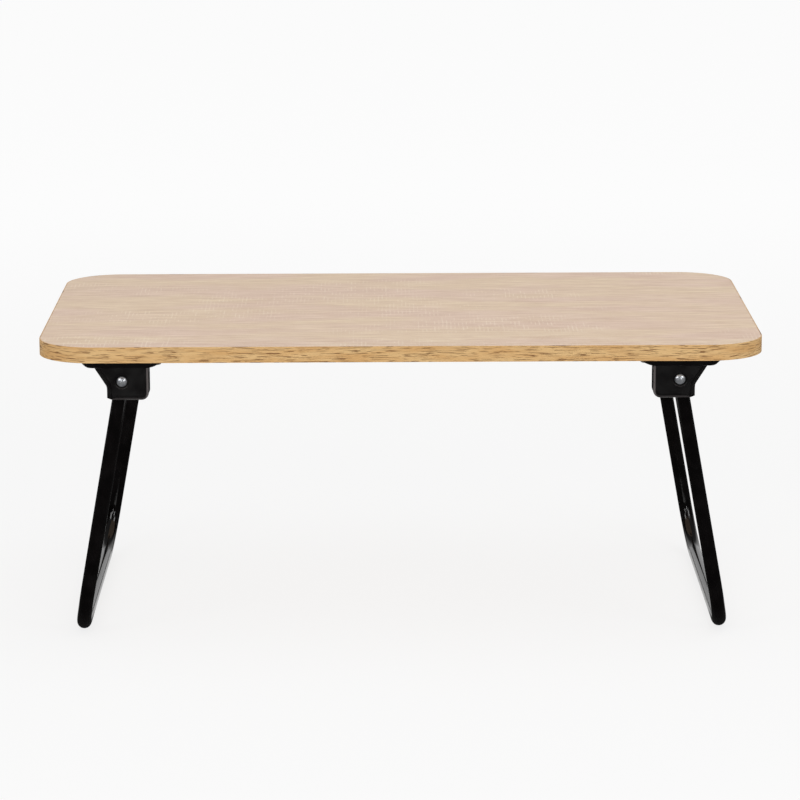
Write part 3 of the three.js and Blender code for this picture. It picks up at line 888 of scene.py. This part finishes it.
def corner_setting_tree():
    """Geometry nodes that set a piece at four corners, the rear ones turned, each twisted by chance."""
    made = bpy.data.node_groups.new("set_at_corners", "GeometryNodeTree")
    sockets = [
        ("Geometry", "NodeSocketGeometry"), ("Length", "NodeSocketFloat"), ("Width", "NodeSocketFloat"),
        ("Height", "NodeSocketFloat"), ("Rear Turn", "NodeSocketFloat"), ("Twist", "NodeSocketFloat"),
        ("Seed", "NodeSocketInt"), ("Finish", "NodeSocketMaterial"),
    ]
    for label, kind in sockets:
        made.interface.new_socket(label, in_out="INPUT", socket_type=kind)
    made.interface.new_socket("Geometry", in_out="OUTPUT", socket_type="NodeSocketGeometry")
    taken = node(made, "NodeGroupInput").outputs
    grid = node(made, "GeometryNodeMeshGrid", {
        "Size X": taken["Length"], "Size Y": taken["Width"], "Vertices X": 2, "Vertices Y": 2,
    }).outputs["Mesh"]
    up = node(made, "ShaderNodeCombineXYZ", {"Z": taken["Height"]}).outputs[0]
    points = node(made, "GeometryNodeSetPosition", {"Geometry": grid, "Offset": up}).outputs[0]
    depth = node(made, "ShaderNodeSeparateXYZ", {0: node(made, "GeometryNodeInputPosition").outputs[0]})
    at_rear = maths(made, "GREATER_THAN", depth.outputs[1], 0.0)
    rear_turn = maths(made, "MULTIPLY", at_rear, taken["Rear Turn"])
    least = maths(made, "MULTIPLY", taken["Twist"], -1.0)
    chance = node(made, "FunctionNodeRandomValue", {2: least, 3: taken["Twist"], "Seed": taken["Seed"]})
    turn_z = maths(made, "ADD", rear_turn, chance.outputs[1])
    rotation = node(made, "ShaderNodeCombineXYZ", {"Z": turn_z}).outputs[0]
    copies = node(made, "GeometryNodeInstanceOnPoints", {
        "Points": points, "Instance": taken["Geometry"], "Rotation": rotation,
    }).outputs[0]
    real = node(made, "GeometryNodeRealizeInstances", {"Geometry": copies}).outputs[0]
    coated = node(made, "GeometryNodeSetMaterial", {"Geometry": real, "Material": taken["Finish"]})
    node(made, "NodeGroupOutput", {"Geometry": coated.outputs[0]})
    return made


CORNER_SETTING = corner_setting_tree()


def set_at_corners(piece, **values):
    """Runs the corner tree on a piece, with each named input given by its identifier."""
    setting = piece.modifiers.new("corners", "NODES")
    setting.node_group = CORNER_SETTING
    for item in CORNER_SETTING.interface.items_tree:
        label = item.name.lower().replace(" ", "_")
        if item.in_out == "INPUT" and label in values:
            setting[item.identifier] = values[label]
    settled(piece)


def zinc_finish(name, bright, dull, roughness):
    """Bright zinc plate, brushed by tumbling, with duller clouds and fine scratches."""
    material, tree, shader = new_material(name, Metallic=0.82)
    place = node(tree, "ShaderNodeTexCoord").outputs["Object"]
    surface = placed_group(tree, handled_group, {
        "Vector": place, "Scuff Size": 0.6 * MM, "Grain Size": 0.25 * MM,
    })
    clouds = blended(tree, surface["Smudges"], bright, dull)
    scratched = blended(tree, maths(tree, "MULTIPLY", surface["Scuffs"], 0.5), clouds, dull)
    tree.links.new(scratched, shader.inputs["Base Color"])
    worn = between(tree, surface["Scuffs"], 0.0, 1.0, roughness, roughness + 0.2)
    tree.links.new(worn, shader.inputs["Roughness"])
    embossed(tree, shader, surface["Grain"], 0.02 * MM)
    return material


HEAD_RADIUS = 4.3 * MM
HEAD_HEIGHT = 2.4 * MM
HEAD_RIM = 0.35 * MM
SHANK_RADIUS = 2.5 * MM
TAIL_RADIUS = 3.7 * MM
TAIL_HEIGHT = 1.4 * MM
TAIL_BORE = 1.6 * MM
TAIL_BORE_DEPTH = 5 * MM
RIVET_SEAT = CHEEK_FACE - RECESS_DEPTH + 0.1 * MM
HEAD_DOME_STEPS = 9
TAIL_ROLL_STEPS = 9


def rivet_profile():
    """The rivet's half section from the crown of its head to the bottom of the bore in its tail."""
    profile = [(0, -RIVET_SEAT - HEAD_HEIGHT)]
    for sine, cosine in list(quarter(HEAD_DOME_STEPS))[1:]:
        profile.append((HEAD_RADIUS * sine, -RIVET_SEAT - HEAD_RIM - (HEAD_HEIGHT - HEAD_RIM) * cosine))
    profile += [(HEAD_RADIUS - 0.1 * MM, -RIVET_SEAT), (SHANK_RADIUS, -RIVET_SEAT)]
    profile.append((SHANK_RADIUS, RIVET_SEAT))
    roll = (TAIL_RADIUS - TAIL_BORE) / 2
    profile.append((TAIL_RADIUS - roll, RIVET_SEAT))
    for step in range(TAIL_ROLL_STEPS):
        angle = -math.pi / 2 + (step + 1) / (TAIL_ROLL_STEPS + 1) * 1.5 * math.pi
        out = TAIL_BORE + roll + roll * math.cos(angle)
        profile.append((out, RIVET_SEAT + TAIL_HEIGHT / 2 * (1 + math.sin(angle))))
    bore_end = RIVET_SEAT + TAIL_HEIGHT - TAIL_BORE_DEPTH
    profile += [(TAIL_BORE, RIVET_SEAT + TAIL_HEIGHT / 2), (TAIL_BORE, bore_end)]
    profile.append((0, bore_end - 0.6 * MM))
    return profile


zinc_rivet = zinc_finish("zinc_rivet", tone(222, 225, 229), tone(184, 188, 194), 0.28)
rivets = as_object("leg_rivets", turned(rivet_profile(), RIVET_STEPS))
smoothed(rivets)
set_at_corners(
    rivets, length=2 * HINGE["right_leg"].x, width=2 * HINGE_Y, height=HINGE_Z,
    rear_turn=math.pi, twist=0.0, seed=1, finish=zinc_rivet,
)
stood_for = [name for name in frame["nodes"] if name.startswith("rivet_")]
finished(rivets, zinc_rivet, "zinc_rivet", "table_top", *stood_for)

PAN_RADIUS = 3.7 * MM
PAN_HEIGHT = 2.4 * MM
PAN_SIDE = 0.42
PAN_STEPS = 7
SCREW_SHANK = 1.55 * MM
THREAD_RADIUS = 2.0 * MM
THREAD_PITCH = 1.5 * MM
THREAD_START = 2.5 * MM
SCREW_POINT = 3 * MM
RECESS_LENGTH = 4.2 * MM
RECESS_WIDTH = 0.95 * MM
DRIVE_DEPTH = 1.6 * MM
SCREW_LOW, SCREW_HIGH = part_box("screw_front_right_outer")
SCREW_LENGTH = SCREW_HIGH.z - SCREW_LOW.z - PAN_HEIGHT
SCREW_SEAT_Z = SCREW_LOW.z + PAN_HEIGHT


def screw_profile():
    """The screw's half section from the crown of its pan head up its thread to its point."""
    profile = [(0, -PAN_HEIGHT)]
    for sine, cosine in list(quarter(PAN_STEPS))[1:]:
        profile.append((PAN_RADIUS * sine, -PAN_HEIGHT * (PAN_SIDE + (1 - PAN_SIDE) * cosine)))
    profile += [(PAN_RADIUS, -0.15 * MM), (PAN_RADIUS - 0.15 * MM, 0)]
    profile += [(SCREW_SHANK, 0), (SCREW_SHANK, THREAD_START)]
    turns = int((SCREW_LENGTH - SCREW_POINT - THREAD_START) / THREAD_PITCH)
    for thread in range(turns):
        foot = THREAD_START + thread * THREAD_PITCH
        profile.append((THREAD_RADIUS, foot + 0.45 * THREAD_PITCH))
        profile.append((THREAD_RADIUS, foot + 0.55 * THREAD_PITCH))
        profile.append((SCREW_SHANK, foot + THREAD_PITCH))
    profile += [(0.3 * MM, SCREW_LENGTH - 0.3 * MM), (0, SCREW_LENGTH)]
    return profile


def cross_bit():
    """The tapered cross that presses the drive recess: two wings, narrower at the bottom."""
    wings = []
    for turn_by in (0.0, math.pi / 2):
        rings = []
        for height, share in ((-PAN_HEIGHT - 1 * MM, 1.35), (-PAN_HEIGHT + DRIVE_DEPTH, 0.5)):
            half_length = RECESS_LENGTH / 2 * share
            half_width = RECESS_WIDTH / 2 * (0.6 + 0.4 * share)
            signs = ((-1, -1), (1, -1), (1, 1), (-1, 1))
            rings.append([(x * half_length, y * half_width, height) for x, y in signs])
        wing = lofted(rings)
        wing.transform(Matrix.Rotation(turn_by, 4, "Z"))
        wings.append(as_object("wing", wing))
    return wings


zinc_screw = zinc_finish("zinc_screw", tone(214, 216, 218), tone(168, 170, 174), 0.4)
for place in ("outer", "inner"):
    screws = as_object(f"{place}_bracket_screws", turned(screw_profile(), SCREW_STEPS, axis="Z"))
    for wing in cross_bit():
        worked(screws, wing)
    smoothed(screws)
    low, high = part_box(f"screw_front_right_{place}")
    set_at_corners(
        screws, length=low.x + high.x, width=-low.y - high.y, height=SCREW_SEAT_Z,
        rear_turn=0.0, twist=math.pi / 4, seed=3 if place == "outer" else 8, finish=zinc_screw,
    )
    stood_for = [name for name in SCREWS if name.endswith(place)]
    finished(screws, zinc_screw, "zinc_screw", "table_top", *stood_for)


# ---------------------------------------------------------------------------------------------
# Legs: two lengths of 12 mm steel tube, each bent twice into a U and sprayed gloss black. The
# ends are drilled for the rivets. The open leg leans out until it meets its brackets' walls.
# ---------------------------------------------------------------------------------------------

TUBE_BORE = 4.8 * MM
BEND_RADIUS = 40 * MM
BEND_STEPS = 20
TUBE_STEPS = 40
TUBE_LIP = 0.25 * MM
LEG_LENGTH = (HINGE_Z - TUBE_RADIUS) / math.cos(SPLAY)
DRILL_REACH = 160 * MM


def leg_stations():
    """Places down the tube's middle line, each with the way the tube runs there."""
    stations = [(Vector((0, -HINGE_Y, TUBE_PAST_HINGE)), Vector((0, 0, -1)))]
    bend_z = BEND_RADIUS - LEG_LENGTH
    for end in (-1, 1):
        bend_y = end * (HINGE_Y - BEND_RADIUS)
        first = 0.0 if end < 0 else math.pi / 2
        for step in range(BEND_STEPS + 1):
            angle = first + step / BEND_STEPS * math.pi / 2
            out = Vector((0, -math.cos(angle), -math.sin(angle)))
            run = Vector((0, math.sin(angle), -math.cos(angle)))
            stations.append((Vector((0, bend_y, bend_z)) + BEND_RADIUS * out, run))
    stations.append((Vector((0, HINGE_Y, TUBE_PAST_HINGE)), Vector((0, 0, 1))))
    return stations


def tube_ring(station, radius, back=0.0):
    place, run = station
    side = Vector((1, 0, 0))
    over = run.cross(side)
    ring = []
    for step in range(TUBE_STEPS):
        angle = step / TUBE_STEPS * 2 * math.pi
        ring.append(place + back * run + radius * (math.cos(angle) * side + math.sin(angle) * over))
    return ring


def tube_skin():
    """The tube's outer wall down one way and its bore back, joined by a rounded lip at each end."""
    stations = leg_stations()
    first, last = stations[0], stations[-1]
    rings = [tube_ring(first, TUBE_RADIUS - TUBE_LIP), tube_ring(first, TUBE_RADIUS, TUBE_LIP)]
    rings += [tube_ring(station, TUBE_RADIUS) for station in stations[1:-1]]
    rings += [tube_ring(last, TUBE_RADIUS, -TUBE_LIP), tube_ring(last, TUBE_RADIUS - TUBE_LIP)]
    rings += [tube_ring(station, TUBE_BORE) for station in reversed(stations)]
    return lofted(rings, ends_meet=True)


black_paint, tree, shader = new_material("black_tube_paint", Specular_IOR_Level=0.5)
place = node(tree, "ShaderNodeTexCoord").outputs["Object"]
surface = placed_group(tree, handled_group, {
    "Vector": place, "Scuff Size": 2.2 * MM, "Grain Size": 1.6 * MM,
})
ground = blended(tree, surface["Smudges"], tone(4, 3, 3), tone(8, 6, 6))
scuffed = blended(tree, maths(tree, "MULTIPLY", surface["Scuffs"], 0.25), ground, tone(46, 43, 41))
tree.links.new(scuffed, shader.inputs["Base Color"])
gloss_share = maths(tree, "ADD", surface["Smudges"], surface["Scuffs"])
tree.links.new(between(tree, gloss_share, 0.0, 2.0, 0.08, 0.26), shader.inputs["Roughness"])
embossed(tree, shader, surface["Grain"], 0.03 * MM)

for side, sign in (("left", -1), ("right", 1)):
    tube = as_object(f"{side}_leg_frame", tube_skin())
    worked(tube, rivet_drill(DRILL_REACH))
    lean_out = Matrix.Rotation(-sign * SPLAY, 4, "Y")
    tube.data.transform(Matrix.Translation(HINGE[f"{side}_leg"]) @ lean_out)
    smoothed(tube)
    finished(tube, black_paint, "black_tube_paint", f"{side}_leg", f"{side}_leg_tube")
